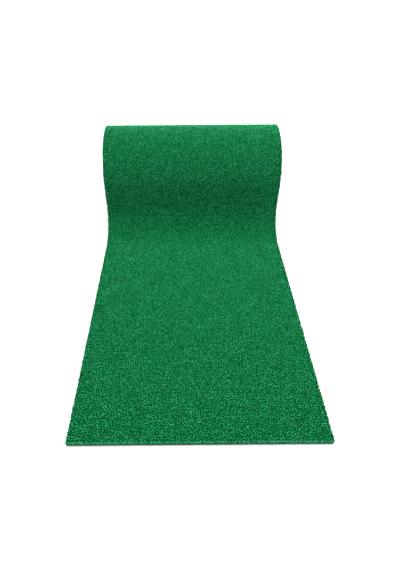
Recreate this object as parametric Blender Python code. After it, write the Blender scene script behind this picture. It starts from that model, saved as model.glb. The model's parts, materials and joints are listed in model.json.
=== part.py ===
"""Practice putting mat: a long strip of artificial turf, partly unrolled from a round roll.

The strip has three plies: a pile of curled green yarn, a thin woven primary backing that the yarn
is tufted through, and a black latex backing. It is wound, pile outwards, on a cardboard core.
The outer turn leaves the front of the roll at about mid height, drops to the floor in one hollow
bend and runs flat to the free end.

Axes: X across the mat, -Y towards the free end, +Z up. Front of the roll means its -Y side.
The floor is z = 0, and the origin is under the middle of the bounding box. Metres and degrees.

Each ply is one strip on the real mat. Here it is parted where the mat flexes or pays out: the
free end, the laid run, the riser and outer turn, and the windings that turn inside them.
"""

import math

import bmesh
import bpy

# Mat
MAT_WIDTH = 0.300
LAID_LENGTH = 0.487  # free end to the roll's axis, along the floor
FREE_END_LENGTH = 0.110  # the stretch that lifts
PILE_HEIGHT = 0.0038
PRIMARY_THICKNESS = 0.0005
LATEX_THICKNESS = 0.0016

# Roll
WOUND_TURNS = 7  # whole turns inside the outer one
CORE_RADIUS = 0.024
CORE_WALL = 0.005
LEAVE_ANGLE = 4.0  # where the sheet leaves the roll, above the front of the roll
WRAP_END_ANGLE = 26.0  # where the outer turn ends, below the front of the roll
CROSSOVER_ANGLE = 60.0  # the part of each turn in which it steps in by one pitch
BEND_RADIUS = 0.054  # hollow bend at the foot of the riser, at the pile tips

# Clearances
PLY_GAP = 0.0003  # between plies of one sheet
TURN_GAP = 0.0003  # between turns of the roll
CORE_FIT = 0.0003  # radial, core to innermost turn
SPIN_CLEARANCE = 0.0006  # radial, windings to outer turn
SPLIT_GAP = 0.0003  # between two stretches of the sheet

# Facets
STEPS_PER_TURN = 36
STEP_ANGLE = 360.0 / STEPS_PER_TURN

# Worked out from the above
MAT_THICKNESS = PILE_HEIGHT + PRIMARY_THICKNESS + LATEX_THICKNESS + 2 * PLY_GAP
TURN_PITCH = MAT_THICKNESS + TURN_GAP
INNERMOST_RADIUS = CORE_RADIUS + CORE_FIT + MAT_THICKNESS  # pile tips of the innermost turn
WOUND_RADIUS = INNERMOST_RADIUS + (WOUND_TURNS - 1) * TURN_PITCH  # pile tips of the windings
ROLL_RADIUS = WOUND_RADIUS + SPIN_CLEARANCE + MAT_THICKNESS  # pile tips of the outer turn
CORE_LENGTH = MAT_WIDTH  # the tube is cut flush with the mat

FRONT_Y = -(LAID_LENGTH + ROLL_RADIUS) / 2
ROLL_Y = FRONT_Y + LAID_LENGTH
ROLL_Z = ROLL_RADIUS
HINGE_Y = FRONT_Y + FREE_END_LENGTH

# Each ply's outer and inner face, as depths below the pile tips
PRIMARY_DEPTH = PILE_HEIGHT + PLY_GAP
LATEX_DEPTH = PRIMARY_DEPTH + PRIMARY_THICKNESS + PLY_GAP
PLIES = {
    "pile": (0.0, PILE_HEIGHT),
    "primary_backing": (PRIMARY_DEPTH, PRIMARY_DEPTH + PRIMARY_THICKNESS),
    "latex_backing": (LATEX_DEPTH, MAT_THICKNESS),
}


def clear_scene():
    for obj in list(bpy.data.objects):
        bpy.data.objects.remove(obj, do_unlink=True)


def make_material(name, color, roughness):
    material = bpy.data.materials.new(name)
    material.use_nodes = True
    shader = material.node_tree.nodes["Principled BSDF"]
    shader.inputs["Base Color"].default_value = (*color, 1.0)
    shader.inputs["Roughness"].default_value = roughness
    shader.inputs["Metallic"].default_value = 0.0
    material.diffuse_color = (*color, 1.0)
    return material


def add_pivot(name, y, z):
    """An empty on a joint's axis, which carries the pieces that move on that joint."""
    pivot = bpy.data.objects.new(name, None)
    pivot.location = (0.0, y, z)
    bpy.context.collection.objects.link(pivot)
    return pivot


def add_object(name, bm, material, pivot=None):
    """An object from a bmesh whose points are measured from the pivot, or from the origin."""
    bmesh.ops.recalc_face_normals(bm, faces=bm.faces)
    mesh = bpy.data.meshes.new(name)
    bm.to_mesh(mesh)
    bm.free()
    mesh.shade_smooth()
    mesh.set_sharp_from_angle(angle=math.radians(30))
    mesh.materials.append(material)
    obj = bpy.data.objects.new(name, mesh)
    bpy.context.collection.objects.link(obj)
    obj.parent = pivot
    return obj


def extrude_across(bm, faces, width):
    """Turns faces that lie at x = -width / 2 into a solid that is centred on x = 0."""
    extruded = bmesh.ops.extrude_face_region(bm, geom=faces)["geom"]
    far_side = [item for item in extruded if isinstance(item, bmesh.types.BMVert)]
    bmesh.ops.translate(bm, verts=far_side, vec=(width, 0.0, 0.0))


def add_strip(name, outer, inner, material, pivot=None):
    """One stretch of a ply, the width of the mat: the band between two paths of (y, z) points."""
    bm = bmesh.new()
    x = -MAT_WIDTH / 2
    rungs = [(bm.verts.new((x, *a)), bm.verts.new((x, *b))) for a, b in zip(outer, inner)]
    faces = [bm.faces.new((a, c, d, b)) for (a, b), (c, d) in zip(rungs, rungs[1:])]
    extrude_across(bm, faces, MAT_WIDTH)
    return add_object(name, bm, material, pivot)


def polar(radius, angle):
    """A (y, z) point about a centre. Angle 0 is the front of the roll, and 90 its top."""
    turn = math.radians(angle)
    return (-radius * math.cos(turn), radius * math.sin(turn))


def spaced(start, end):
    """Angles from start to end, both included, about a facet apart."""
    count = max(1, round(abs(end - start) / STEP_ANGLE))
    return [start + (end - start) * i / count for i in range(count + 1)]


def add_laid_strips(stretch, start_y, end_y, materials, pivot=None):
    """The three plies of a flat stretch of the mat, from start_y to end_y on the floor."""
    offset_y, offset_z = (pivot.location.y, pivot.location.z) if pivot else (0.0, 0.0)
    for ply, depths in PLIES.items():
        outer, inner = (
            [(y - offset_y, MAT_THICKNESS - depth - offset_z) for y in (start_y, end_y)]
            for depth in depths
        )
        add_strip(f"{stretch}_{ply}", outer, inner, materials[ply], pivot)


def bend_centre():
    """Centre of the hollow bend at the foot of the riser, as (y, z) about the roll's axis.

    The sheet leaves the roll on a tangent, and the bend takes it from there to the floor.
    """
    leave_y, leave_z = polar(ROLL_RADIUS, LEAVE_ANGLE)
    lean = math.radians(LEAVE_ANGLE)
    z = MAT_THICKNESS + BEND_RADIUS - ROLL_Z
    drop = (leave_z + BEND_RADIUS * math.sin(lean) - z) / math.cos(lean)
    return leave_y - drop * math.sin(lean) - BEND_RADIUS * math.cos(lean), z


def riser_path(depth):
    """The riser at a depth below the pile tips, from the floor up to the roll, about its axis."""
    centre_y, centre_z = bend_centre()
    foot_angle = math.degrees(SPLIT_GAP / BEND_RADIUS)
    path = []
    for angle in spaced(foot_angle - 90.0, -LEAVE_ANGLE):
        y, z = polar(BEND_RADIUS + depth, angle)
        path.append((centre_y - y, centre_z + z))
    top_y, top_z = polar(ROLL_RADIUS - depth, LEAVE_ANGLE)
    lean = math.radians(LEAVE_ANGLE)
    path.append((top_y - SPLIT_GAP * math.sin(lean), top_z - SPLIT_GAP * math.cos(lean)))
    return path


def wrap_path(depth):
    """The outer turn: over the top, down the back, and round the bottom towards the front.

    It has a point at the very bottom, where the roll stands on the floor.
    """
    angles = spaced(LEAVE_ANGLE, 270.0) + spaced(270.0, 360.0 - WRAP_END_ANGLE)[1:]
    return [polar(ROLL_RADIUS - depth, angle) for angle in angles]


def wound_path(depth):
    """The windings. Each turn keeps its radius, then steps in by a pitch near its end.

    So the outermost turn is round, and can turn inside the outer turn of the mat. The innermost
    turn ends where it would step into the core.
    """
    last = 360.0 * WOUND_TURNS - CROSSOVER_ANGLE
    points = []
    for angle in spaced(0.0, last):
        turns, part = divmod(angle / 360.0, 1.0)
        into_step = (part * 360.0 - (360.0 - CROSSOVER_ANGLE)) / CROSSOVER_ANGLE
        into_step = min(max(into_step, 0.0), 1.0)
        step = turns + into_step * into_step * (3.0 - 2.0 * into_step)
        radius = WOUND_RADIUS - step * TURN_PITCH - depth
        points.append(polar(radius, LEAVE_ANGLE + angle))
    return points


def add_curved_strips(stretch, path, materials, pivot):
    """The three plies of a stretch whose path is worked out at any depth below the pile tips."""
    for ply, (outer, inner) in PLIES.items():
        add_strip(f"{stretch}_{ply}", path(outer), path(inner), materials[ply], pivot)


def add_core_tube(material, pivot):
    """The cardboard tube that the mat is wound on."""
    bm = bmesh.new()
    rings = []
    for radius in (CORE_RADIUS, CORE_RADIUS - CORE_WALL):
        points = [polar(radius, STEP_ANGLE * i) for i in range(STEPS_PER_TURN)]
        ring = [bm.verts.new((-CORE_LENGTH / 2, *point)) for point in points]
        rings.extend(bm.edges.new((a, b)) for a, b in zip(ring, ring[1:] + ring[:1]))
    faces = bmesh.ops.bridge_loops(bm, edges=rings)["faces"]
    extrude_across(bm, faces, CORE_LENGTH)
    return add_object("core_tube", bm, material, pivot)


def build():
    clear_scene()
    materials = {
        "pile": make_material("curled_green_yarn", (0.011, 0.194, 0.062), 0.85),
        "primary_backing": make_material("woven_backing", (0.012, 0.013, 0.013), 0.80),
        "latex_backing": make_material("black_latex", (0.018, 0.018, 0.019), 0.70),
    }
    cardboard = make_material("kraft_cardboard", (0.35, 0.22, 0.12), 0.90)
    free_end_hinge = add_pivot("free_end_hinge", HINGE_Y, MAT_THICKNESS)
    roll_axis = add_pivot("roll_axis", ROLL_Y, ROLL_Z)

    add_laid_strips("free_end", FRONT_Y, HINGE_Y - SPLIT_GAP, materials, free_end_hinge)
    add_laid_strips("run", HINGE_Y, ROLL_Y + bend_centre()[0], materials)
    add_curved_strips("riser", riser_path, materials, roll_axis)
    add_curved_strips("outer_turn", wrap_path, materials, roll_axis)
    add_curved_strips("wound", wound_path, materials, roll_axis)
    add_core_tube(cardboard, roll_axis)


build()
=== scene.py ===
"""The looks of a practice putting mat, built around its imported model.

The mat is one strip of curled turf. Every piece of it is drawn on a line: the strip's own path in
the plane across the roll, with a place along the strip (s) and a height (h) that is 0 at the pile
tips and negative below them. Beds, curls and backings are laid on that line, so they bend, drop
and wind as one sheet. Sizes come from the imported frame, in metres.
"""

from __future__ import annotations

import json
import logging
import math
from collections.abc import Callable
from dataclasses import dataclass, field
from enum import Enum
from typing import Protocol

import bpy
import numpy as np
from bpy.types import Material, Node, NodeSocket, NodeTree, Object
from mathutils import Matrix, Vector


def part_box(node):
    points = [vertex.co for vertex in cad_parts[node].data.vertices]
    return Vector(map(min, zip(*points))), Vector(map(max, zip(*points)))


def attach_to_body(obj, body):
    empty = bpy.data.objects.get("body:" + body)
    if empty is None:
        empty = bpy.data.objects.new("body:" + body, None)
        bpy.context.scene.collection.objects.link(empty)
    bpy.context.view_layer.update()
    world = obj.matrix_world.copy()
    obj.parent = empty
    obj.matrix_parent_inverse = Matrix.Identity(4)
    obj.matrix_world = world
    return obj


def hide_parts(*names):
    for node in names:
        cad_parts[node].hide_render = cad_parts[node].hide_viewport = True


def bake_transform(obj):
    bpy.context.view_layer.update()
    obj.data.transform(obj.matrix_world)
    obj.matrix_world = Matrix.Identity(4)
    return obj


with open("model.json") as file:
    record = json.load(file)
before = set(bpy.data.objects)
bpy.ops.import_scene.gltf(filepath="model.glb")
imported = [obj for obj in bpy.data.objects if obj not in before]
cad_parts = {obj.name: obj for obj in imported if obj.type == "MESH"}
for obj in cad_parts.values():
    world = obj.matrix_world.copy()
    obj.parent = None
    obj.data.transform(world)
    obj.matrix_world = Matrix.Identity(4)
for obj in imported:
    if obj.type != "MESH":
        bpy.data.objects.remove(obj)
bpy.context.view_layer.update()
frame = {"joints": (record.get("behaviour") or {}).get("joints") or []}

log = logging.getLogger("putting_mat")
SEED = 20
MM = 0.001


# --- Sizes ---


class Ply(Enum):
    """The plies of the strip, each with the end of its nodes' names and its material slot."""

    PILE = ("pile", "turf_pile")
    PRIMARY = ("primary_backing", "primary_backing")
    LATEX = ("latex_backing", "latex_backing")

    def node(self, stretch: str) -> str:
        """The CAD node of this ply in a stretch of the mat."""
        return f"{stretch}_{self.value[0]}"

    @property
    def slot(self) -> str:
        """The record's material slot of this ply."""
        return self.value[1]


@dataclass(frozen=True)
class MatSizes:
    """The mat's sizes, read from the frame, and the few that no box gives."""

    half_width: float
    front_y: float
    hinge_y: float
    bend_y: float
    thickness: float
    heights: dict[Ply, tuple[float, float]]
    roll_y: float
    roll_z: float
    wound_radius: float
    bend_radius: float = 54 * MM
    leave_angle: float = math.radians(4)
    wrap_end_angle: float = math.radians(334)
    crossover: float = math.radians(60)
    wound_turns: int = 7
    turn_gap: float = 0.3 * MM

    @classmethod
    def from_frame(cls) -> MatSizes:
        """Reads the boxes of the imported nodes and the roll's axis.

        Returns:
            The sizes of the mat that was packed.
        """
        free_low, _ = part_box(Ply.PILE.node("free_end"))
        run_low, run_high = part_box(Ply.PILE.node("run"))
        axis = next(j for j in frame["joints"] if j["name"] == "roll_turn")["pos_m"]
        _, wound_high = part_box(Ply.PILE.node("wound"))
        tips = run_high.z
        levels = [tips]
        for upper, lower in ((Ply.PILE, Ply.PRIMARY), (Ply.PRIMARY, Ply.LATEX)):
            levels.append((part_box(upper.node("run"))[0].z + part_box(lower.node("run"))[1].z) / 2)
        levels.append(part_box(Ply.LATEX.node("run"))[0].z)
        heights = {
            ply: (top - tips, low - tips) for ply, top, low in zip(Ply, levels, levels[1:])
        }
        return cls(
            half_width=run_high.x,
            front_y=free_low.y,
            hinge_y=run_low.y,
            bend_y=run_high.y,
            thickness=tips,
            heights=heights,
            roll_y=axis[1],
            roll_z=axis[2],
            wound_radius=wound_high.z - axis[2],
        )

    @property
    def pitch(self) -> float:
        """How far one turn lies inside the last."""
        return self.thickness + self.turn_gap

    @property
    def pile_low(self) -> float:
        """The height of the pile's foot."""
        return self.heights[Ply.PILE][1]


def smooth(t: np.ndarray) -> np.ndarray:
    """A step from 0 to 1 with no corner at either end.

    Args:
        t: Where between the ends, clipped to 0 and 1.

    Returns:
        The eased values.
    """
    t = np.clip(t, 0.0, 1.0)
    return t * t * (3.0 - 2.0 * t)


def scatter_evenly(rows: int, columns: int, rng: np.random.Generator) -> np.ndarray:
    """Scatters one point for each cell of a grid, with neither rows nor clumps left to see.

    Each point starts anywhere in its cell, and close neighbours then push each other apart.

    Args:
        rows: The grid's rows.
        columns: The grid's columns.
        rng: The source of chance.

    Returns:
        The points, one row each, as row and column places from 0 to 1.
    """
    size = np.array([rows, columns])
    cells = np.stack(np.meshgrid(np.arange(rows), np.arange(columns), indexing="ij"), axis=-1)
    points = cells + rng.uniform(0.0, 1.0, cells.shape)
    reach, step, rounds, margin, tiny = 1.15, 0.28, 10, 0.15, 1e-6
    near = range(-2, 3)
    shifts = [(i, j) for i in near for j in near if i or j]
    for _ in range(rounds):
        push = np.zeros_like(points)
        for i, j in shifts:
            here = (slice(max(0, -i), rows - max(0, i)), slice(max(0, -j), columns - max(0, j)))
            there = (slice(max(0, i), rows - max(0, -i)), slice(max(0, j), columns - max(0, -j)))
            apart = points[here] - points[there]
            distance = np.linalg.norm(apart, axis=-1, keepdims=True) + tiny
            push[here] += apart / distance * np.clip(reach - distance, 0.0, None) * step
        points = np.clip(points + push, margin, size - margin)
    return (points / size).reshape(-1, 2)


# --- Lines that the sheet follows ---


class Line(Protocol):
    """A path of the strip, on which points are placed by x, s and h."""

    def place(self, x: np.ndarray, s: np.ndarray, h: np.ndarray) -> np.ndarray:
        """Points in space for places across the mat (x), along it (s) and above its tips (h)."""
        ...


class SheetLine:
    """From the free end along the floor, up the riser and round the roll.

    Past the end of the outer turn the strip tucks in: it thins as it slips under the riser, so
    that the windings can turn inside it and no end shows.
    """

    LEFT_WHEN_TUCKED = 0.04

    def __init__(self, sizes: MatSizes) -> None:
        """Works out where each stretch begins.

        Args:
            sizes: The mat's sizes.
        """
        self.sizes = sizes
        lean, radius = sizes.leave_angle, sizes.roll_z
        leave_z = sizes.roll_z + radius * math.sin(lean)
        self.bend_z = sizes.thickness + sizes.bend_radius
        self.drop = (leave_z + sizes.bend_radius * math.sin(lean) - self.bend_z) / math.cos(lean)
        self.bend_at = sizes.bend_y - sizes.front_y
        self.drop_at = self.bend_at + sizes.bend_radius * (math.pi / 2 - lean)
        self.roll_at = self.drop_at + self.drop
        self.tuck_at = self.roll_at + radius * (sizes.wrap_end_angle - lean)
        self.end_at = self.roll_at + radius * 2 * math.pi
        self.thin_at = (self.tuck_at + 2 * self.end_at) / 3

    def tucked(self, s: np.ndarray) -> np.ndarray:
        """How far the strip has tucked in at s, from 0 to 1."""
        return smooth((s - self.tuck_at) / (self.end_at - self.tuck_at))

    def place(self, x: np.ndarray, s: np.ndarray, h: np.ndarray) -> np.ndarray:
        """Points in space on this line.

        Args:
            x: Across the mat.
            s: Along the mat, from the free end.
            h: Above the pile tips, so negative inside the mat.

        Returns:
            One point for each triple.
        """
        mat = self.sizes
        lean = mat.leave_angle
        flat_y, flat_z = mat.front_y + s, mat.thickness + h

        turn = np.clip((s - self.bend_at) / mat.bend_radius, 0.0, math.pi / 2 - lean)
        climb = np.clip(s - self.drop_at, 0.0, None)
        reach = mat.bend_radius - h
        rise_y = mat.bend_y + reach * np.sin(turn) + climb * math.sin(lean)
        rise_z = self.bend_z - reach * np.cos(turn) + climb * math.cos(lean)

        gone = self.tucked(s)
        angle = lean + (s - self.roll_at) / mat.roll_z
        left = 1.0 - (1.0 - self.LEFT_WHEN_TUCKED) * gone
        radius = mat.roll_z - mat.pitch * gone + h * left
        roll_y = mat.roll_y - radius * np.cos(angle)
        roll_z = mat.roll_z + radius * np.sin(angle)

        rising, rolling = s > self.bend_at, s > self.roll_at
        y = np.where(rolling, roll_y, np.where(rising, rise_y, flat_y))
        z = np.where(rolling, roll_z, np.where(rising, rise_z, flat_z))
        return np.stack([x, y, z], axis=-1)


class WindingLine:
    """The turns inside the outer one, from their thinned outer end to the core.

    Each turn keeps its radius and steps in by one pitch near its end. The outer end starts thin,
    over the first such step, so that the windings are round.
    """

    SAMPLES_PER_TURN = 360
    LEFT_AT_END = 0.04

    def __init__(self, sizes: MatSizes) -> None:
        """Tabulates the angle against the length along the strip.

        Args:
            sizes: The mat's sizes.
        """
        self.sizes = sizes
        full = 2 * math.pi * sizes.wound_turns - sizes.crossover
        count = self.SAMPLES_PER_TURN * (sizes.wound_turns + 1)
        self.angles = np.linspace(-sizes.crossover, full, count)
        middle = self.tip_radius(self.angles) - sizes.thickness / 2
        steps = middle[:-1] * np.diff(self.angles)
        self.lengths = np.concatenate([[0.0], np.cumsum(steps)])
        self.end_at = float(self.lengths[-1])
        self.full_at = float(np.interp(-sizes.crossover / 2, self.angles, self.lengths))

    def tip_radius(self, angle: np.ndarray) -> np.ndarray:
        """How far the pile tips lie from the roll's axis.

        Args:
            angle: Along the windings, from 0 where the first full turn starts.

        Returns:
            The radius at each angle.
        """
        whole, crossover = 2 * math.pi, self.sizes.crossover
        turns, part = np.divmod(np.maximum(angle, 0.0) / whole, 1.0)
        steps = turns + smooth((part * whole - (whole - crossover)) / crossover)
        return self.sizes.wound_radius - steps * self.sizes.pitch

    def place(self, x: np.ndarray, s: np.ndarray, h: np.ndarray) -> np.ndarray:
        """Points in space on this line.

        Args:
            x: Across the mat.
            s: Along the windings, from their outer end.
            h: Above the pile tips, so negative inside the mat.

        Returns:
            One point for each triple.
        """
        mat = self.sizes
        angle = np.interp(s, self.lengths, self.angles)
        full = smooth((angle + mat.crossover) / mat.crossover)
        left = self.LEFT_AT_END + (1.0 - self.LEFT_AT_END) * full
        radius = self.tip_radius(angle) + h * left
        turned = mat.leave_angle + angle
        y = mat.roll_y - radius * np.cos(turned)
        z = mat.roll_z + radius * np.sin(turned)
        return np.stack([x, y, z], axis=-1)


# --- Finishes ---


# A wave texture's bands repeat every WAVE_REPEAT / scale metres.
WAVE_REPEAT = 0.314
COLOURS = {"data_type": "RGBA"}
Sockets = tuple[NodeSocket, NodeSocket]


def linear(hex_color: str) -> tuple[float, float, float, float]:
    """Turns an sRGB hex colour to the linear one that shaders take.

    Args:
        hex_color: Six digits with a leading #.

    Returns:
        Red, green and blue, linear, with an alpha of 1.
    """
    values = [int(hex_color[i : i + 2], 16) / 255 for i in (1, 3, 5)]
    red, green, blue = (v / 12.92 if v <= 0.04045 else ((v + 0.055) / 1.055) ** 2.4 for v in values)
    return (red, green, blue, 1.0)


def add_node(
    tree: NodeTree,
    kind: str,
    settings: dict[str, object] | None = None,
    links: dict[str | int, object] | None = None,
) -> Node:
    """Adds a shader node.

    Args:
        tree: The material's nodes.
        kind: The node's type, without its ShaderNode prefix.
        settings: The node's own properties.
        links: For each input, by name or number, a socket to link or a value to set.

    Returns:
        The new node.
    """
    node = tree.nodes.new(f"ShaderNode{kind}")
    for name, value in (settings or {}).items():
        setattr(node, name, value)
    for name, value in (links or {}).items():
        if isinstance(value, NodeSocket):
            tree.links.new(value, node.inputs[name])
        else:
            node.inputs[name].default_value = value
    return node


@dataclass(frozen=True)
class Finish:
    """A finish: a Principled shader with its plain values, and a relief of its own depth."""

    name: str
    roughness: float = 0.8
    ior: float = 1.5
    specular: float = 0.5
    bump_strength: float = 0.5
    bump_mm: float = 0.2

    def make(self) -> Material:
        """Builds the material.

        Returns:
            The finished material.
        """
        material = bpy.data.materials.new(self.name)
        material.use_nodes = True
        tree = material.node_tree
        tree.nodes.clear()
        plain = {
            "Roughness": self.roughness,
            "IOR": self.ior,
            "Specular IOR Level": self.specular,
        }
        shader = add_node(tree, "BsdfPrincipled", links=plain)
        add_node(tree, "OutputMaterial", links={"Surface": shader.outputs["BSDF"]})
        colour, height = self.dress(tree)
        relief = {
            "Height": height,
            "Strength": self.bump_strength,
            "Distance": self.bump_mm * MM,
        }
        bump = add_node(tree, "Bump", links=relief)
        tree.links.new(colour, shader.inputs["Base Color"])
        tree.links.new(bump.outputs["Normal"], shader.inputs["Normal"])
        return material

    def dress(self, tree: NodeTree) -> Sockets:
        """Makes the finish's colour and the height of its relief."""
        raise NotImplementedError


@dataclass(frozen=True)
class CurledYarn(Finish):
    """Crimped polypropylene yarn: each curl has its own tone, and painted shade darkens it towards
    its root.
    The gaps between its filaments trap the highlight, so its gloss is far below that of smooth
    plastic.
    The crimp of real filaments is finer, and is drawn at 0.5 mm so that it shows."""

    name: str = "curled_polypropylene_yarn"
    roughness: float = 0.7
    specular: float = 0.08
    bump_mm: float = 0.3
    dark: str = "#007F3D"
    light: str = "#38B277"
    # Painted shade: how dark each curl is painted at its feet, where the pile around it shades it.
    painted_root_shade: float = 0.25
    crimp_mm: float = 0.5
    crimp_detail: float = 2.0

    def dress(self, tree: NodeTree) -> Sockets:
        """Colours each curl by its tone, and paints shade on each point of it, darker the lower it
        lies in the arch.

        Args:
            tree: The material's nodes.

        Returns:
            The colour, and the height of the relief.
        """
        tone = add_node(tree, "Attribute", {"attribute_name": "tone"})
        ends = {"A": linear(self.dark), "B": linear(self.light)}
        shade = add_node(tree, "Mix", COLOURS, {"Factor": tone.outputs["Fac"], **ends})
        # Painted shade: each point is darkened by how low it lies in its curl's arch, darkest at
        # the feet.
        rise = add_node(tree, "Attribute", {"attribute_name": "rise"})
        painted_shade = add_node(
            tree,
            "MapRange",
            links={"Value": rise.outputs["Fac"], "To Min": self.painted_root_shade, "To Max": 1.0},
        )
        colour = add_node(
            tree,
            "Mix",
            {**COLOURS, "blend_type": "MULTIPLY"},
            {"Factor": 1.0, "A": shade.outputs["Result"], "B": painted_shade.outputs["Result"]},
        )
        place = add_node(tree, "TexCoord").outputs["Object"]
        waves = {
            "Vector": place,
            "Scale": 1 / (self.crimp_mm * MM),
            "Detail": self.crimp_detail,
        }
        crimp = add_node(tree, "TexNoise", links=waves).outputs["Fac"]
        return colour.outputs["Result"], crimp


@dataclass(frozen=True)
class YarnBed(Finish):
    """The same yarn, deep between the curls: matt and tangled, with strands as thick as the curls'
    own yarn. Its colours are much darker than the curls', as painted shade deep in the pile."""

    name: str = "yarn_bed"
    roughness: float = 0.9
    specular: float = 0.0
    bump_strength: float = 1.0
    bump_mm: float = 1.0
    # Painted shade: both colours stand for the yarn in the shade deep in the pile.
    dark: str = "#003E1E"
    light: str = "#07743D"
    strand_mm: float = 2.2
    strand_detail: float = 2.0
    tangle: float = 2.0
    gap_and_strand: tuple[float, float] = (0.34, 0.66)

    def dress(self, tree: NodeTree) -> Sockets:
        """Tangles pale strands over gaps darkened with painted shade.

        Args:
            tree: The material's nodes.

        Returns:
            The colour, and the height of the relief.
        """
        noise = {
            "Vector": add_node(tree, "TexCoord").outputs["Object"],
            "Scale": 1 / (self.strand_mm * MM),
            "Detail": self.strand_detail,
            "Distortion": self.tangle,
        }
        tangled = add_node(tree, "TexNoise", links=noise).outputs["Fac"]
        gap, strand = self.gap_and_strand
        strands = add_node(
            tree,
            "MapRange",
            {"interpolation_type": "SMOOTHSTEP"},
            {"Value": tangled, "From Min": gap, "From Max": strand},
        ).outputs["Result"]
        # Painted shade: the gaps between the strands take the darkest colour.
        ends = {"A": linear(self.dark), "B": linear(self.light)}
        colour = add_node(tree, "Mix", COLOURS, {"Factor": strands, **ends})
        return colour.outputs["Result"], strands


class Crossing(Enum):
    """How two crossed sets of bands meet."""

    WOVEN = "MAXIMUM"
    WAFFLE = "MULTIPLY"


@dataclass(frozen=True)
class CrossedBands(Finish):
    """A finish with two crossed sets of bands, drawn on the piece's own map."""

    crossing: Crossing = Crossing.WOVEN
    pitch_mm: float = 1.2

    def cross(self, tree: NodeTree) -> Sockets:
        """Crosses the bands.

        Args:
            tree: The material's nodes.

        Returns:
            The place on the map, and the height of the crossed bands there.
        """
        place = add_node(tree, "UVMap", {"uv_map": "UVMap"}).outputs["UV"]
        waves = {"Vector": place, "Scale": WAVE_REPEAT / (self.pitch_mm * MM)}
        across, along = (
            add_node(tree, "TexWave", {"bands_direction": direction}, waves).outputs["Fac"]
            for direction in ("X", "Y")
        )
        crossed = add_node(tree, "Math", {"operation": self.crossing.value}, {0: across, 1: along})
        return place, crossed.outputs["Value"]


@dataclass(frozen=True)
class WovenScrim(CrossedBands):
    """Woven polypropylene tape: a plain weave of flat black tapes, 1.2 mm apart, with dark pits
    between them."""

    name: str = "woven_tape_backing"
    roughness: float = 0.75
    dark: str = "#0E100F"
    light: str = "#252A27"

    def dress(self, tree: NodeTree) -> Sockets:
        """Weaves two sets of tapes.

        Args:
            tree: The material's nodes.

        Returns:
            The colour, and the height of the relief.
        """
        _, weave = self.cross(tree)
        ends = {"A": linear(self.dark), "B": linear(self.light)}
        return add_node(tree, "Mix", COLOURS, {"Factor": weave, **ends}).outputs["Result"], weave


@dataclass(frozen=True)
class CastLatex(CrossedBands):
    """Filled latex cast on a cloth belt: matt black, with the belt's waffle and a faint bloom. A
    real belt's cloth is finer, and its waffle is drawn 3 mm apart so that it shows."""

    name: str = "cast_latex"
    crossing: Crossing = Crossing.WAFFLE
    pitch_mm: float = 3.0
    bump_strength: float = 0.8
    bump_mm: float = 0.4
    dark: str = "#131514"
    bloom: str = "#2B2E2C"
    bloom_scale: float = 14.0
    bloom_detail: float = 6.0

    def dress(self, tree: NodeTree) -> Sockets:
        """Casts a waffle under a faint bloom.

        Args:
            tree: The material's nodes.

        Returns:
            The colour, and the height of the relief.
        """
        place, waffle = self.cross(tree)
        noise = {"Vector": place, "Scale": self.bloom_scale, "Detail": self.bloom_detail}
        cloud = add_node(tree, "TexNoise", links=noise).outputs["Fac"]
        ends = {"A": linear(self.dark), "B": linear(self.bloom)}
        return add_node(tree, "Mix", COLOURS, {"Factor": cloud, **ends}).outputs["Result"], waffle


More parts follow.
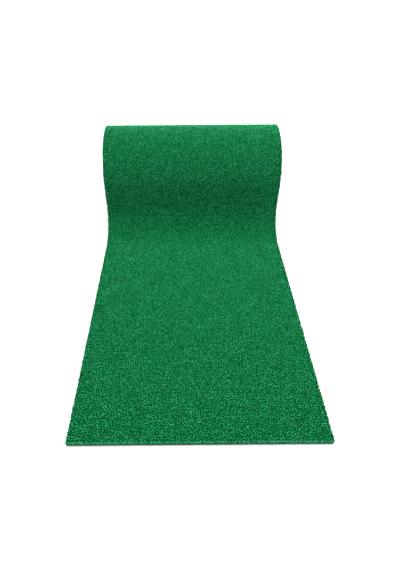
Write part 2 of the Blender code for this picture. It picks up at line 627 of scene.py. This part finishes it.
@dataclass(frozen=True)
class KraftBoard(Finish):
    """Spiral-wound kraft board: matt brown paper with long fibres, a seam that winds round, and
    the edges of its plies on the cut ends. Real fibres are finer than the ones drawn."""

    name: str = "kraft_board"
    roughness: float = 0.9
    bump_strength: float = 0.3
    bump_mm: float = 0.1
    base: str = "#A9865E"
    fibre: str = "#8A6A45"
    seam: str = "#5F472C"
    axis: tuple[float, float] = (0.0, 0.0)
    fibre_scale: float = 900.0
    fibre_detail: float = 5.0
    fibre_stretch: tuple[float, float, float] = (0.25, 1.0, 1.0)
    seam_pitch: float = 0.11
    seam_width: float = 0.005
    ply_mm: float = 0.6
    ply_shade: float = 0.35

    def dress(self, tree: NodeTree) -> Sockets:
        """Draws fibres along the tube, one helical seam round its axis, and rings of plies.

        Args:
            tree: The material's nodes.

        Returns:
            The colour, and the height of the relief.
        """
        place = add_node(tree, "TexCoord").outputs["Object"]
        long = add_node(tree, "Mapping", links={"Vector": place, "Scale": self.fibre_stretch})
        fibres = {
            "Vector": long.outputs["Vector"],
            "Scale": self.fibre_scale,
            "Detail": self.fibre_detail,
        }
        noise = add_node(tree, "TexNoise", links=fibres).outputs["Fac"]
        ends = {"A": linear(self.fibre), "B": linear(self.base)}
        paper = add_node(tree, "Mix", COLOURS, {"Factor": noise, **ends})

        to_axis = (0.0, -self.axis[0], -self.axis[1])
        moved = {"Vector": place, "Location": to_axis}
        centred = add_node(tree, "Mapping", links=moved).outputs["Vector"]
        parts = add_node(tree, "SeparateXYZ", links={"Vector": centred}).outputs
        spin = {0: parts["Z"], 1: parts["Y"]}
        angle = add_node(tree, "Math", {"operation": "ARCTAN2"}, spin).outputs["Value"]
        whole = {0: angle, 1: 2 * math.pi}
        share = add_node(tree, "Math", {"operation": "DIVIDE"}, whole).outputs["Value"]
        helix = {0: parts["X"], 1: 1 / self.seam_pitch, 2: share}
        along = add_node(tree, "Math", {"operation": "MULTIPLY_ADD"}, helix).outputs["Value"]
        turn = add_node(tree, "Math", {"operation": "FRACT"}, {0: along}).outputs["Value"]
        near = {0: turn, 1: self.seam_width}
        is_seam = add_node(tree, "Math", {"operation": "LESS_THAN"}, near).outputs["Value"]

        plies_per_metre = 1 / (self.ply_mm * MM)
        outwards = {0: centred, 1: (0.0, plies_per_metre, plies_per_metre)}
        plies = add_node(tree, "VectorMath", {"operation": "MULTIPLY"}, outwards).outputs["Vector"]
        radius = add_node(tree, "VectorMath", {"operation": "LENGTH"}, {0: plies}).outputs["Value"]
        ply = add_node(tree, "Math", {"operation": "FRACT"}, {0: radius}).outputs["Value"]
        shade = {0: ply, 1: self.ply_shade}
        edge = add_node(tree, "Math", {"operation": "MULTIPLY"}, shade).outputs["Value"]
        both = {0: is_seam, 1: edge}
        marks = add_node(tree, "Math", {"operation": "MAXIMUM"}, both).outputs["Value"]
        ends = {"A": paper.outputs["Result"], "B": linear(self.seam)}
        colour = add_node(tree, "Mix", COLOURS, {"Factor": marks, **ends})
        return colour.outputs["Result"], noise


# --- Meshes ---


def make_object(
    name: str, points: np.ndarray, face_groups: list[np.ndarray], material: Material
) -> Object:
    """Makes a mesh object at the origin from points and faces.

    Args:
        name: The piece's name.
        points: The points, one row each.
        face_groups: Arrays of faces, each with as many columns as its faces have corners.
        material: The piece's finish.

    Returns:
        The object.
    """
    mesh = bpy.data.meshes.new(name)
    corners = np.concatenate([group.ravel() for group in face_groups]).astype(np.int32)
    sizes = np.concatenate([np.full(len(group), group.shape[1]) for group in face_groups])
    starts = np.cumsum(sizes) - sizes
    mesh.vertices.add(len(points))
    mesh.loops.add(len(corners))
    mesh.polygons.add(len(sizes))
    mesh.vertices.foreach_set("co", points.astype(np.float32).ravel())
    mesh.polygons.foreach_set("loop_start", starts.astype(np.int32))
    mesh.polygons.foreach_set("vertices", corners)
    mesh.update(calc_edges=True)
    mesh.shade_smooth()
    mesh.materials.append(material)
    obj = bpy.data.objects.new(name, mesh)
    bpy.context.scene.collection.objects.link(obj)
    return obj


def add_map(obj: Object, name: str, corner_uvs: np.ndarray) -> None:
    """Adds a UV map.

    Args:
        obj: The piece.
        name: The map's name.
        corner_uvs: One pair for each corner of each face, in order.
    """
    layer = obj.data.uv_layers.new(name=name, do_init=False)
    layer.uv.foreach_set("vector", corner_uvs.astype(np.float32).ravel())


def add_values(obj: Object, name: str, values: np.ndarray) -> None:
    """Adds a number for each point of a piece.

    Args:
        obj: The piece.
        name: The attribute's name.
        values: One number for each point.
    """
    layer = obj.data.attributes.new(name, "FLOAT", "POINT")
    layer.data.foreach_set("value", values.astype(np.float32))


@dataclass(frozen=True)
class Band:
    """A closed strip on a line, with a top grid and a plain underside."""

    SHARP_FROM = math.radians(50)

    line: Line
    across: np.ndarray
    along: np.ndarray
    top: np.ndarray
    low: float

    def make(self, name: str, material: Material) -> Object:
        """Builds the strip.

        Args:
            name: The piece's name.
            material: The piece's finish.

        Returns:
            The object, with a UV map of its places across and along the mat, in metres.
        """
        rows, columns = len(self.along), len(self.across)
        s, x = np.meshgrid(self.along, self.across, indexing="ij")
        top = self.line.place(x.ravel(), s.ravel(), self.top.ravel())
        edge_x = np.tile(self.across[[0, -1]], rows)
        edge_s = np.repeat(self.along, 2)
        low = self.line.place(edge_x, edge_s, np.full(2 * rows, self.low))
        grid = np.arange(rows * columns).reshape(rows, columns)
        under = rows * columns + np.arange(2 * rows).reshape(rows, 2)
        left, right = under[:, 0], under[:, 1]

        def quads(a: np.ndarray, b: np.ndarray, c: np.ndarray, d: np.ndarray) -> np.ndarray:
            """Faces from four arrays of corners."""
            return np.stack([a, b, c, d], axis=-1).reshape(-1, 4)

        faces = [
            quads(grid[:-1, :-1], grid[:-1, 1:], grid[1:, 1:], grid[1:, :-1]),
            quads(left[:-1], left[1:], right[1:], right[:-1]),
            quads(grid[:-1, -1], right[:-1], right[1:], grid[1:, -1]),
            quads(grid[:-1, 0], grid[1:, 0], left[1:], left[:-1]),
        ]
        first = np.concatenate([grid[0, ::-1], [left[0], right[0]]])[None, :]
        last = np.concatenate([grid[-1], [right[-1], left[-1]]])[None, :]
        faces += [first, last]
        obj = make_object(name, np.concatenate([top, low]), faces, material)
        obj.data.set_sharp_from_angle(angle=self.SHARP_FROM)
        places = np.stack([np.append(x, edge_x), np.append(s, edge_s)], 1)
        add_map(obj, "UVMap", places[np.concatenate([group.ravel() for group in faces])])
        return obj


@dataclass(frozen=True)
class CurlSizes:
    """The size of one curl of yarn, before each curl's own variation."""

    reach: float = 1.7 * MM
    rise: float = 1.8 * MM
    yarn_radius: float = 0.62 * MM
    wiggle: float = 0.5 * MM
    wiggle_turn: float = 2.4
    end_taper: float = 0.3
    sizes: tuple[float, float] = (0.75, 1.3)
    rises: tuple[float, float] = (0.7, 1.25)


@dataclass
class CurlField:
    """Many arched curls of yarn, each a short open loop with its ends in the bed."""

    # Waves across and along the mat, per metre, and where each starts.
    MOTTLE = ((122, 46, 0.4), (-74, 116, 1.9), (194, -142, 4.0), (38, 286, 2.7))
    MOTTLE_SHARE = 0.12
    TONE_SPREAD = 1.6
    # A curl's cell of the bake map: its tube's share, its margin, and the spots of its two ends.
    TUBE_SHARE = 0.84
    CELL_MARGIN = 0.02
    END_SPOTS = ((0.90, 0.1), (0.98, 0.1), (0.94, 0.4))
    END_SHIFT = (0.0, 0.5)

    line: Line
    sizes: CurlSizes
    rng: np.random.Generator
    rings: int = 5
    sides: int = 3

    def make(self, name: str, roots: np.ndarray, out: np.ndarray, material: Material) -> Object:
        """Grows one curl at each root. No curl reaches above the mat's tips.

        Args:
            name: The piece's name.
            roots: Each curl's foot, as x, s and h.
            out: The direction in which each curl stands up, in the same terms.
            material: The yarn.

        Returns:
            The object, with each curl's tone and each point's rise as attributes.
        """
        count = len(roots)
        along = self.rng.normal(size=(count, 3))
        along -= (along * out).sum(1, keepdims=True) * out
        along /= np.linalg.norm(along, axis=1, keepdims=True)
        side = np.cross(along, out)
        curl = self.sizes
        scale = self.rng.uniform(*curl.sizes, (count, 1, 1))
        rise = curl.rise * self.rng.uniform(*curl.rises, (count, 1, 1))
        reach = curl.reach * scale
        phase = self.rng.uniform(0, 2 * math.pi, (count, 1, 1))
        t = np.linspace(-1.0, 1.0, self.rings)[None, :, None]
        along, out, side = along[:, None], out[:, None], side[:, None]
        centre = (
            roots[:, None]
            + along * reach * t
            + out * rise * (1 - t * t)
            + side * curl.wiggle * np.sin(curl.wiggle_turn * t + phase)
        )
        slope = 2 * t * rise / reach
        upright = out + along * slope
        upright /= np.linalg.norm(upright, axis=2, keepdims=True)
        turn = np.arange(self.sides) * 2 * math.pi / self.sides
        turn = turn[None, None, :, None]
        thick = curl.yarn_radius * (1 - curl.end_taper * t * t) * scale
        points = (
            centre[:, :, None]
            + upright[:, :, None] * np.cos(turn) * thick[..., None]
            + side[:, :, None] * np.sin(turn) * thick[..., None]
        )
        x, s, h = (points[..., k].ravel() for k in range(3))
        places = self.line.place(x, s, np.minimum(h, 0.0))

        ring = self.sides
        base = (np.arange(count) * self.rings * ring)[:, None, None]
        r = np.arange(self.rings - 1)[None, :, None]
        k = np.arange(ring)[None, None, :]
        k_next = (k + 1) % ring
        tube = np.stack(
            [
                base + r * ring + k,
                base + r * ring + k_next,
                base + (r + 1) * ring + k_next,
                base + (r + 1) * ring + k,
            ],
            axis=-1,
        ).reshape(-1, 4)
        foot = base[:, 0, 0]
        start = np.stack([foot + i for i in reversed(range(ring))], 1)
        end = np.stack([foot + (self.rings - 1) * ring + i for i in range(ring)], 1)
        obj = make_object(name, places, [tube, start, end], material)

        per_curl = self.rings * ring
        add_values(obj, "tone", np.repeat(self.tones(roots), per_curl))
        # Each point's height in its curl's arch; the yarn's finish paints shade from it, darker
        # towards the feet.
        arch = (1 - t * t) * rise / (curl.rise * curl.rises[1])
        add_values(obj, "rise", np.repeat(arch[..., 0], ring, axis=1).ravel())
        add_map(obj, "OFBake", self.bake_places(count))
        return obj

    def tones(self, roots: np.ndarray) -> np.ndarray:
        """A tone for each curl: mostly its own, partly a soft mottle over the mat.

        Args:
            roots: Each curl's foot, as x, s and h.

        Returns:
            The tones, from 0 to 1.
        """
        x, s = roots[:, 0], roots[:, 1]
        mottle = np.zeros(len(roots))
        for wave_x, wave_s, shift in self.MOTTLE:
            mottle += np.sin(wave_x * x + wave_s * s + shift) / len(self.MOTTLE)
        own = self.rng.beta(self.TONE_SPREAD, self.TONE_SPREAD, len(roots))
        share = self.MOTTLE_SHARE
        return np.clip((1 - share) * own + share * (0.5 + mottle), 0.0, 1.0)

    def bake_places(self, count: int) -> np.ndarray:
        """A bake map that gives each curl a cell of its own, with its faces side by side in it.

        Args:
            count: The number of curls.

        Returns:
            One pair for each corner of each face.
        """
        cells = math.ceil(math.sqrt(count))
        corner = np.stack(np.divmod(np.arange(count), cells), 1) / cells
        rows, ring = self.rings - 1, self.sides
        r, k = np.meshgrid(np.arange(rows), np.arange(ring), indexing="ij")
        quad = np.stack([r, k, r, k + 1, r + 1, k + 1, r + 1, k], -1).reshape(-1, 4, 2)
        quad = (quad / [rows, ring] * self.TUBE_SHARE + self.CELL_MARGIN) / cells
        tube = corner[:, None, None] + quad[None]
        start = corner[:, None] + np.array(self.END_SPOTS) / cells
        end = start + np.array(self.END_SHIFT) / cells
        return np.concatenate([tube.reshape(-1, 2), start.reshape(-1, 2), end.reshape(-1, 2)])


# --- The turf ---


@dataclass(frozen=True)
class TurfFinishes:
    """The materials of the curls, of their bed and of the two backings."""

    curls: Material
    bed: Material
    primary: Material
    latex: Material


@dataclass
class Turf:
    """Makes the plies and curls of any stretch of the mat."""

    sizes: MatSizes
    finishes: TurfFinishes
    rng: np.random.Generator
    curl_sizes: CurlSizes = field(default_factory=CurlSizes)
    bed_grid: float = 1.6 * MM
    bed_depth: float = 2.3 * MM
    bed_relief: float = 0.9 * MM
    bed_inset: float = 0.3 * MM
    tuft_spacing: float = 3.3 * MM
    tuft_spread: float = 0.8 * MM
    side_margin: float = 1.2 * MM
    curls_per_tuft: int = 2
    foot_mm: tuple[float, float] = (-0.4, 0.2)
    edge_rows: int = 2
    edge_spacing: float = 1.9 * MM
    edge_jitter: tuple[float, float] = (0.1, 0.9)
    row_jitter: tuple[float, float] = (0.25, 0.75)
    side_inset: float = 1.2 * MM
    end_inset: float = 1.8 * MM
    curls_per_piece: int = 7500

    def top_roots(self, length: float) -> np.ndarray:
        """Feet of the curls that stand on the top of the mat, in tufts.

        Args:
            length: How much of the mat can be seen from above.

        Returns:
            The feet, as x, s and h.
        """
        rows = round(length / self.tuft_spacing)
        columns = round(2 * self.sizes.half_width / self.tuft_spacing)
        tufts = scatter_evenly(rows, columns, self.rng)
        feet = np.repeat(tufts, self.curls_per_tuft, axis=0)
        spread = self.rng.uniform(-1.0, 1.0, feet.shape) * self.tuft_spread
        s = np.clip(feet[:, 0] * length + spread[:, 0], self.side_margin, length)
        x = (2 * feet[:, 1] - 1) * (self.sizes.half_width - self.side_margin) + spread[:, 1]
        h = -self.bed_depth + self.rng.uniform(*self.foot_mm, len(s)) * MM
        return np.stack([x, s, h], axis=1)

    def edge_roots(self, start: float, end: float) -> tuple[np.ndarray, np.ndarray]:
        """Feet of the curls that stand out of both cut sides of a stretch.

        Args:
            start: Where the stretch starts along the mat.
            end: Where it ends.

        Returns:
            The feet, and the direction in which each stands.
        """
        low = self.sizes.pile_low
        length = end - start
        count = max(1, round(length / self.edge_spacing))
        feet, outs = [], []
        for hand in (-1.0, 1.0):
            for row in range(self.edge_rows):
                steps = np.arange(count) + self.rng.uniform(*self.edge_jitter, count)
                s = start + steps * length / count
                h = low * (row + self.rng.uniform(*self.row_jitter, count)) / self.edge_rows
                x = np.full(count, hand * (self.sizes.half_width - self.side_inset))
                feet.append(np.stack([x, s, h], 1))
                outs.append(np.tile([hand, 0.0, 0.0], (count, 1)))
        return np.concatenate(feet), np.concatenate(outs)

    def end_roots(self, s: float) -> tuple[np.ndarray, np.ndarray]:
        """Feet of the curls that stand out of the cut end of the mat.

        Args:
            s: Where the cut is along the mat.

        Returns:
            The feet, and the direction in which each stands.
        """
        low = self.sizes.pile_low
        width = 2 * self.sizes.half_width
        count = round(width / self.edge_spacing)
        feet = []
        for row in range(self.edge_rows):
            steps = np.arange(count) + self.rng.uniform(*self.edge_jitter, count)
            x = -width / 2 + steps * width / count
            h = low * (row + self.rng.uniform(*self.row_jitter, count)) / self.edge_rows
            feet.append(np.stack([x, np.full(count, s + self.end_inset), h], 1))
        roots = np.concatenate(feet)
        return roots, np.tile([0.0, -1.0, 0.0], (len(roots), 1))

    def make_bed(self, name: str, line: Line, start: float, end: float) -> Object:
        """The knobbly bed of yarn that the curls stand in.

        Args:
            name: The piece's name.
            line: The line that it follows.
            start: Where it starts along the line.
            end: Where it ends.

        Returns:
            The bed.
        """
        rows = round((end - start) / self.bed_grid) + 1
        columns = round(2 * self.sizes.half_width / self.bed_grid) + 1
        side = self.sizes.half_width - self.bed_inset
        across = np.linspace(-side, side, columns)
        along = np.linspace(start, end, rows)
        relief = np.random.default_rng(SEED).random((rows, columns)) * self.bed_relief
        relief[[0, -1]] = self.bed_relief / 2
        band = Band(line, across, along, -self.bed_depth + relief, self.sizes.pile_low)
        return band.make(name, self.finishes.bed)

    def make_plain(
        self,
        name: str,
        line: Line,
        along: np.ndarray,
        ply: Ply,
        material: Material,
        raised: float = 0.0,
    ) -> Object:
        """A smooth ply, such as a backing.

        Args:
            name: The piece's name.
            line: The line that it follows.
            along: Where its rows lie along the line.
            ply: Which ply it is.
            material: Its finish.
            raised: How far its top stands above the ply's own.

        Returns:
            The ply.
        """
        top, low = self.sizes.heights[ply]
        across = np.array([-self.sizes.half_width, self.sizes.half_width])
        heights = np.full((len(along), 2), top + raised)
        return Band(line, across, along, heights, low).make(name, material)

    def make_curls(
        self, name: str, line: Line, roots: np.ndarray, out: np.ndarray
    ) -> list[Object]:
        """Curls at the given feet, in as many pieces as keep each one light.

        Args:
            name: The pieces' name, to which a number is added.
            line: The line that the mat follows.
            roots: The feet.
            out: The direction in which each curl stands.

        Returns:
            The pieces.
        """
        order = np.argsort(roots[:, 1], kind="stable")
        parts = np.array_split(order, max(1, math.ceil(len(roots) / self.curls_per_piece)))
        curls = CurlField(line, self.curl_sizes, self.rng)
        return [
            curls.make(f"{name}_{number}", roots[part], out[part], self.finishes.curls)
            for number, part in enumerate(parts, 1)
        ]


@dataclass
class TurfStretch:
    """One stretch of the mat with all its plies, and how it moves."""

    name: str
    turf: Turf
    line: SheetLine
    start: float
    end: float
    stands_for: tuple[str, ...]
    attach: Callable[[Object], None]
    top_roots: np.ndarray
    has_cut_end: bool = False
    row_step: float = 2 * MM

    def build(self) -> list[Object]:
        """Returns:
            All of its pieces.
        """
        turf, line = self.turf, self.line
        bed = turf.make_bed(f"{self.name}_yarn_bed", line, self.start, self.end)
        s = self.top_roots[:, 1]
        roots = self.top_roots[(s >= self.start) & (s < self.end)]
        out = np.tile([0.0, 0.0, 1.0], (len(roots), 1))
        sides, side_out = turf.edge_roots(self.start, min(self.end, line.thin_at))
        edges, edge_out = [sides], [side_out]
        if self.has_cut_end:
            cut, cut_out = turf.end_roots(self.start)
            edges.append(cut)
            edge_out.append(cut_out)
        curls = turf.make_curls(f"{self.name}_curls", line, roots, out)
        curls += turf.make_curls(
            f"{self.name}_edge_curls", line, np.concatenate(edges), np.concatenate(edge_out)
        )
        length = self.end - self.start
        rows = np.linspace(self.start, self.end, round(length / self.row_step) + 1)
        primary, latex = (
            turf.make_plain(f"{self.name}_{kind}", line, rows, ply, material)
            for kind, ply, material in (
                ("woven_scrim", Ply.PRIMARY, turf.finishes.primary),
                ("latex_sheet", Ply.LATEX, turf.finishes.latex),
            )
        )
        stand_ins = {Ply.PILE: bed, Ply.PRIMARY: primary, Ply.LATEX: latex}
        for ply, piece in stand_ins.items():
            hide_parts(*(ply.node(stretch) for stretch in self.stands_for))
        pieces = [bed, *curls, primary, latex]
        for piece in pieces:
            self.attach(piece)
        return pieces


@dataclass
class Windings:
    """The seven turns inside the outer one. Only their sides can be seen. Their pile is drawn a
    little proud, so that it fills the room between the turns and no light comes through."""

    turf: Turf
    line: WindingLine
    row_angle: float = math.radians(5)
    proud: float = 0.25 * MM

    def build(self) -> list[Object]:
        """Makes the three plies and the curls along their cut sides.

        Returns:
            All of the pieces.
        """
        turf, line = self.turf, self.line
        first, last = line.angles[[0, -1]]
        angles = np.linspace(first, last, round((last - first) / self.row_angle) + 1)
        rows = np.interp(angles, line.angles, line.lengths)
        made_as = {
            Ply.PILE: ("wound_yarn_bed", turf.finishes.bed),
            Ply.PRIMARY: ("wound_woven_scrim", turf.finishes.primary),
            Ply.LATEX: ("wound_latex_sheet", turf.finishes.latex),
        }
        plies = {
            ply: turf.make_plain(name, line, rows, ply, material, self.proud * (ply is Ply.PILE))
            for ply, (name, material) in made_as.items()
        }
        roots, out = turf.edge_roots(line.full_at, line.end_at)
        curls = turf.make_curls("wound_edge_curls", line, roots, out)
        for ply, piece in plies.items():
            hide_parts(ply.node("wound"))
        pieces = [*plies.values(), *curls]
        for piece in pieces:
            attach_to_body(piece, "windings")
        return pieces


# --- The core tube ---


@dataclass
class CoreTube:
    """The cardboard tube, with its paper edges a little rounded."""

    sizes: MatSizes
    wall: float = 5 * MM
    facets: int = 96
    rim: float = 0.5 * MM
    rim_steps: int = 3
    rim_from: float = math.radians(50)
    smooth_to: float = math.radians(40)

    def build(self) -> Object:
        """Models the tube and gives it its finish.

        Returns:
            The tube.
        """
        low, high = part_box("core_tube")
        radius = (high.z - low.z) / 2
        bpy.ops.object.select_all(action="DESELECT")
        bpy.ops.mesh.primitive_cylinder_add(
            vertices=self.facets,
            radius=radius,
            depth=high.x - low.x,
            end_fill_type="NOTHING",
            location=(0.0, self.sizes.roll_y, self.sizes.roll_z),
            rotation=(0.0, math.pi / 2, 0.0),
        )
        tube = bpy.context.object
        tube.name = tube.data.name = "cardboard_core"
        bpy.ops.object.transform_apply(location=True, rotation=True, scale=True)
        wall = tube.modifiers.new("wall", "SOLIDIFY")
        wall.thickness, wall.offset = self.wall, -1.0
        rims = tube.modifiers.new("rims", "BEVEL")
        rims.width, rims.segments, rims.angle_limit = self.rim, self.rim_steps, self.rim_from
        for modifier in (wall.name, rims.name):
            bpy.ops.object.modifier_apply(modifier=modifier)
        bpy.ops.object.shade_smooth_by_angle(angle=self.smooth_to)
        finish = KraftBoard(axis=(self.sizes.roll_y, self.sizes.roll_z))
        tube.data.materials.append(finish.make())
        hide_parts("core_tube")
        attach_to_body(tube, "core")
        return tube


# --- The studio ---


@dataclass
class Studio:
    """A pale floor, soft light from above and behind, and the camera."""

    sizes: MatSizes
    lens: float = 25.0
    camera_before_axis: float = 0.6818
    camera_height: float = 0.4391
    camera_x: float = -0.0192
    camera_down: float = math.radians(44.06)
    camera_roll: float = math.radians(-0.43)
    lens_shift: float = 0.032
    sky_strength: float = 1.0
    room_light: float = 1.0
    room_light_spread: float = math.radians(40)
    box_power: float = 18.5
    box_size: float = 0.9
    box_height: float = 1.25
    box_behind_axis: float = 0.04
    box_x: float = 0.2
    floor_size: float = 12.0
    floor_gap: float = 0.2 * MM
    floor_colour: str = "#F7F8F8"
    floor_roughness: float = 0.9
    floor_specular: float = 0.1

    def build(self) -> None:
        """Sets up the floor, the light and the camera."""
        self.add_floor()
        self.add_light()
        self.add_camera()

    def add_floor(self) -> None:
        """A plain pale floor."""
        bpy.ops.object.select_all(action="DESELECT")
        below = (0.0, 0.0, -self.floor_gap)
        bpy.ops.mesh.primitive_plane_add(size=self.floor_size, location=below)
        floor = bpy.context.object
        floor.name = "studio_floor"
        paint = bpy.data.materials.new("floor_paint")
        paint.use_nodes = True
        inputs = paint.node_tree.nodes["Principled BSDF"].inputs
        inputs["Base Color"].default_value = linear(self.floor_colour)
        inputs["Roughness"].default_value = self.floor_roughness
        inputs["Specular IOR Level"].default_value = self.floor_specular
        floor.data.materials.append(paint)

    def add_light(self) -> None:
        """An even sky, even room light from straight above, and a soft box over the roll."""
        world = bpy.data.worlds.new("studio")
        world.use_nodes = True
        sky = world.node_tree.nodes["Background"]
        sky.inputs["Color"].default_value = (1.0, 1.0, 1.0, 1.0)
        sky.inputs["Strength"].default_value = self.sky_strength
        bpy.context.scene.world = world
        room = bpy.data.lights.new("room_light", "SUN")
        room.energy, room.angle = self.room_light, self.room_light_spread
        box = bpy.data.lights.new("soft_box", "AREA")
        box.energy, box.size = self.box_power, self.box_size
        over_roll = (self.box_x, self.sizes.roll_y + self.box_behind_axis, self.box_height)
        for lamp in (room, box):
            light = bpy.data.objects.new(lamp.name, lamp)
            light.location = over_roll
            bpy.context.scene.collection.objects.link(light)
        bpy.context.scene.view_settings.view_transform = "Standard"

    def add_camera(self) -> None:
        """The camera, in front of the free end and looking down at the roll."""
        data = bpy.data.cameras.new("camera")
        data.lens, data.shift_x = self.lens, self.lens_shift
        camera = bpy.data.objects.new("camera", data)
        y = self.sizes.roll_y - self.camera_before_axis
        camera.location = (self.camera_x, y, self.camera_height)
        tilt = Matrix.Rotation(math.pi / 2 - self.camera_down, 4, "X")
        camera.rotation_euler = (tilt @ Matrix.Rotation(self.camera_roll, 4, "Z")).to_euler()
        bpy.context.scene.collection.objects.link(camera)
        bpy.context.scene.camera = camera


# --- The whole mat ---


@dataclass
class PuttingMat:
    """The mat, stretch by stretch.

    The free end's stretch reaches a little past its bending line, into the run.
    """

    sizes: MatSizes
    bend_before: float = 24 * MM
    bend_after: float = 12 * MM
    still: float = 2 * MM

    def follow_lift(self, piece: Object) -> None:
        """Bakes the placement of a piece of the free end into its mesh.

        Args:
            piece: The piece.
        """
        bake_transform(piece)

    def follow_pay_out(self, piece: Object) -> None:
        """Bakes the placement of a piece of the laid run into its mesh.

        Args:
            piece: The piece.
        """
        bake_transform(piece)

    def follow_roll(self, piece: Object) -> None:
        """Keeps a piece of the outer turn on the roll."""
        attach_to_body(piece, "roll_carriage")

    def build(self) -> list[Object]:
        """Builds every piece of the mat.

        Returns:
            The pieces.
        """
        finishes = TurfFinishes(
            curls=CurledYarn().make(),
            bed=YarnBed().make(),
            primary=WovenScrim().make(),
            latex=CastLatex().make(),
        )
        turf = Turf(self.sizes, finishes, np.random.default_rng(SEED))
        line = SheetLine(self.sizes)
        free_until = self.sizes.hinge_y + self.bend_after - self.sizes.front_y
        roots = turf.top_roots(line.end_at)
        stretches = [
            TurfStretch(name, turf, line, start, end, stands_for, attach, roots, start == 0.0)
            for name, start, end, stands_for, attach in (
                ("free_end", 0.0, free_until, ("free_end",), self.follow_lift),
                ("laid_run", free_until, line.roll_at, ("run", "riser"), self.follow_pay_out),
                ("outer_turn", line.roll_at, line.end_at, ("outer_turn",), self.follow_roll),
            )
        ]
        pieces: list[Object] = []
        for stretch in stretches:
            pieces += stretch.build()
        pieces += Windings(turf, WindingLine(self.sizes)).build()
        pieces.append(CoreTube(self.sizes).build())
        return pieces


def main() -> None:
    """Builds the mat and its studio, and reports each piece."""
    logging.basicConfig(level=logging.INFO, format="%(name)s: %(message)s")
    sizes = MatSizes.from_frame()
    Studio(sizes).build()
    total = 0
    for piece in PuttingMat(sizes).build():
        triangles = sum(len(face.vertices) - 2 for face in piece.data.polygons)
        total += triangles
        log.info("%s: %d triangles", piece.name, triangles)
    log.info("whole mat: %d triangles", total)


if __name__ == "__main__":
    main()
